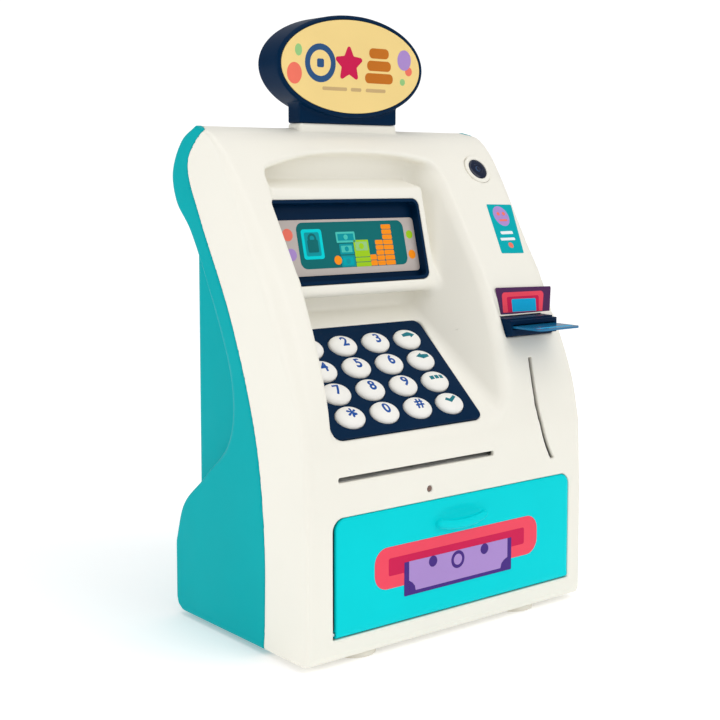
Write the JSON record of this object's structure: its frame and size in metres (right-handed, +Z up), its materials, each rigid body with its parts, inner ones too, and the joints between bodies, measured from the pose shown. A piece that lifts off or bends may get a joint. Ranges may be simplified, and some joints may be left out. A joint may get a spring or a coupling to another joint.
{
  "type": "toy cash-machine savings bank",
  "caption": "Toy cash-machine savings bank with a leaning front, oval-key keypad, card and note slots, coin slit, hinged cash door and oval sign.",
  "frame": {"origin": "middle of the overall box in X and Y, on the table under the feet", "axes": "+X to the viewer's right, +Y to the back (the front faces -Y), +Z up"},
  "size_m": [0.18, 0.123, 0.3068],
  "materials": {
    "ivory_shell": "moulded, satin gloss",
    "teal_shell": "moulded, satin gloss",
    "cyan_door": "moulded, gloss",
    "navy_plastic": "moulded, gloss",
    "sign_print": "printed film",
    "screen_print": "printed film",
    "door_print": "printed film",
    "teal_print": "printed film",
    "card_print": "printed film",
    "key_ivory": "moulded, printed mark",
    "lens_navy": "polished",
    "card_blue": "gloss card",
    "led_red": "clear tinted",
    "grey_plastic": "moulded",
    "bin_plastic": "moulded",
    "orange_plastic": "moulded",
    "black_plastic": "moulded",
    "membrane_rubber": "silicone",
    "roller_rubber": "matte rubber",
    "foot_rubber": "soft rubber",
    "board_green": "glass-fibre board with parts",
    "steel_bright": "bright",
    "steel_zinc": "zinc plated",
    "brass_metal": "machined",
    "cell_wrap": "printed sleeve"
  },
  "bodies": {
    "bank": {"front_housing": "ivory_shell", "rear_housing": "teal_shell", "latch_solenoid": "steel_zinc", "sign_body": "navy_plastic", "sign_back": "navy_plastic", "sign_panel": "sign_print", "screen_bezel": "navy_plastic", "screen_card": "screen_print", "keypad_plate": "navy_plastic", "keypad_membrane": "membrane_rubber", "keypad_board": "board_green", "camera_ring": "ivory_shell", "camera_lens": "lens_navy", "face_label": "teal_print", "card_label": "card_print", "card_reader": "navy_plastic", "status_led": "led_red", "note_frame": "grey_plastic", "feed_motor": "steel_zinc", "coin_chute": "grey_plastic", "main_board": "board_green", "speaker": "black_plastic", "battery_box": "black_plastic", "batteries": "cell_wrap", "battery_contacts": "steel_bright", "power_switch": "steel_zinc", "housing_screws": "steel_zinc", "feet": "foot_rubber", "cash_bin": "bin_plastic"},
    "door": {"door": "cyan_door", "hinge_pins": "steel_bright", "latch_keeper": "steel_zinc", "door_label": "door_print"},
    "bolt": {"latch_bolt": "steel_bright"},
    "feed": {"feed_shaft": "steel_bright", "feed_rollers": "roller_rubber", "feed_gear": "grey_plastic"},
    "idler": {"idler_roller": "grey_plastic"},
    "pinion": {"motor_pinion": "brass_metal"},
    "lever": {"coin_lever": "orange_plastic"},
    "card": {"bank_card": "card_blue"},
    "switch": {"switch_knob": "black_plastic"},
    "cover": {"battery_cover": "teal_shell"},
    "cover_screw": {"battery_screw": "steel_zinc"},
    "key_1": {"key_1": "key_ivory"},
    "key_2": {"key_2": "key_ivory"},
    "key_3": {"key_3": "key_ivory"},
    "key_fn_a": {"key_fn_a": "key_ivory"},
    "key_4": {"key_4": "key_ivory"},
    "key_5": {"key_5": "key_ivory"},
    "key_6": {"key_6": "key_ivory"},
    "key_fn_b": {"key_fn_b": "key_ivory"},
    "key_7": {"key_7": "key_ivory"},
    "key_8": {"key_8": "key_ivory"},
    "key_9": {"key_9": "key_ivory"},
    "key_fn_c": {"key_fn_c": "key_ivory"},
    "key_star": {"key_star": "key_ivory"},
    "key_0": {"key_0": "key_ivory"},
    "key_hash": {"key_hash": "key_ivory"},
    "key_fn_d": {"key_fn_d": "key_ivory"}
  },
  "joints": [
    {"name": "door_hinge", "type": "hinge", "parent": "bank", "child": "door", "pos_m": [0.00275, -0.0502, 0.0153], "axis": [1, 0, 0], "range_deg": [0, 85]},
    {"name": "bolt_slide", "type": "slide", "parent": "bank", "child": "bolt", "axis": [0, 0, -1], "range_m": [0, 0.0045]},
    {"name": "feed_spin", "type": "hinge", "parent": "bank", "child": "feed", "pos_m": [0, -0.0282, 0.09275], "axis": [1, 0, 0], "continuous": true},
    {"name": "idler_spin", "type": "hinge", "parent": "bank", "child": "idler", "pos_m": [0, -0.0282, 0.08065], "axis": [1, 0, 0], "continuous": true},
    {"name": "pinion_spin", "type": "hinge", "parent": "bank", "child": "pinion", "pos_m": [0.032, -0.01689, 0.10406], "axis": [1, 0, 0], "continuous": true},
    {"name": "lever_pivot", "type": "hinge", "parent": "bank", "child": "lever", "pos_m": [0.076, -0.0312, 0.086], "axis": [0, -1, 0], "range_deg": [0, 25], "stiffness_Nm_per_rad": 0.0012, "springref_deg": -20.05},
    {"name": "card_slide", "type": "slide", "parent": "bank", "child": "card", "axis": [0, -1, 0], "range_m": [0, 0.048]},
    {"name": "switch_slide", "type": "slide", "parent": "bank", "child": "switch", "axis": [1, 0, 0], "range_m": [0, 0.0055]},
    {"name": "cover_lift", "type": "slide", "parent": "bank", "child": "cover", "axis": [0, 1, 0], "range_m": [0, 0.03]},
    {"name": "screw_out", "type": "slide", "parent": "cover", "child": "cover_screw", "axis": [0, 1, 0], "range_m": [0, 0.012]},
    {"name": "key_1_press", "type": "slide", "parent": "bank", "child": "key_1", "axis": [0, 0.6652, -0.7466], "range_m": [0, 0.0015], "stiffness_N_per_m": 300, "springref_m": -0.001},
    {"name": "key_2_press", "type": "slide", "parent": "bank", "child": "key_2", "axis": [0, 0.6652, -0.7466], "range_m": [0, 0.0015], "stiffness_N_per_m": 300, "springref_m": -0.001},
    {"name": "key_3_press", "type": "slide", "parent": "bank", "child": "key_3", "axis": [0, 0.6652, -0.7466], "range_m": [0, 0.0015], "stiffness_N_per_m": 300, "springref_m": -0.001},
    {"name": "key_fn_a_press", "type": "slide", "parent": "bank", "child": "key_fn_a", "axis": [0, 0.6652, -0.7466], "range_m": [0, 0.0015], "stiffness_N_per_m": 300, "springref_m": -0.001},
    {"name": "key_4_press", "type": "slide", "parent": "bank", "child": "key_4", "axis": [0, 0.6652, -0.7466], "range_m": [0, 0.0015], "stiffness_N_per_m": 300, "springref_m": -0.001},
    {"name": "key_5_press", "type": "slide", "parent": "bank", "child": "key_5", "axis": [0, 0.6652, -0.7466], "range_m": [0, 0.0015], "stiffness_N_per_m": 300, "springref_m": -0.001},
    {"name": "key_6_press", "type": "slide", "parent": "bank", "child": "key_6", "axis": [0, 0.6652, -0.7466], "range_m": [0, 0.0015], "stiffness_N_per_m": 300, "springref_m": -0.001},
    {"name": "key_fn_b_press", "type": "slide", "parent": "bank", "child": "key_fn_b", "axis": [0, 0.6652, -0.7466], "range_m": [0, 0.0015], "stiffness_N_per_m": 300, "springref_m": -0.001},
    {"name": "key_7_press", "type": "slide", "parent": "bank", "child": "key_7", "axis": [0, 0.6652, -0.7466], "range_m": [0, 0.0015], "stiffness_N_per_m": 300, "springref_m": -0.001},
    {"name": "key_8_press", "type": "slide", "parent": "bank", "child": "key_8", "axis": [0, 0.6652, -0.7466], "range_m": [0, 0.0015], "stiffness_N_per_m": 300, "springref_m": -0.001},
    {"name": "key_9_press", "type": "slide", "parent": "bank", "child": "key_9", "axis": [0, 0.6652, -0.7466], "range_m": [0, 0.0015], "stiffness_N_per_m": 300, "springref_m": -0.001},
    {"name": "key_fn_c_press", "type": "slide", "parent": "bank", "child": "key_fn_c", "axis": [0, 0.6652, -0.7466], "range_m": [0, 0.0015], "stiffness_N_per_m": 300, "springref_m": -0.001},
    {"name": "key_star_press", "type": "slide", "parent": "bank", "child": "key_star", "axis": [0, 0.6652, -0.7466], "range_m": [0, 0.0015], "stiffness_N_per_m": 300, "springref_m": -0.001},
    {"name": "key_0_press", "type": "slide", "parent": "bank", "child": "key_0", "axis": [0, 0.6652, -0.7466], "range_m": [0, 0.0015], "stiffness_N_per_m": 300, "springref_m": -0.001},
    {"name": "key_hash_press", "type": "slide", "parent": "bank", "child": "key_hash", "axis": [0, 0.6652, -0.7466], "range_m": [0, 0.0015], "stiffness_N_per_m": 300, "springref_m": -0.001},
    {"name": "key_fn_d_press", "type": "slide", "parent": "bank", "child": "key_fn_d", "axis": [0, 0.6652, -0.7466], "range_m": [0, 0.0015], "stiffness_N_per_m": 300, "springref_m": -0.001}
  ],
  "couplings": [
    {"joint": "pinion_spin", "follows": "feed_spin", "ratio": -3},
    {"joint": "idler_spin", "follows": "feed_spin", "ratio": -1}
  ]
}
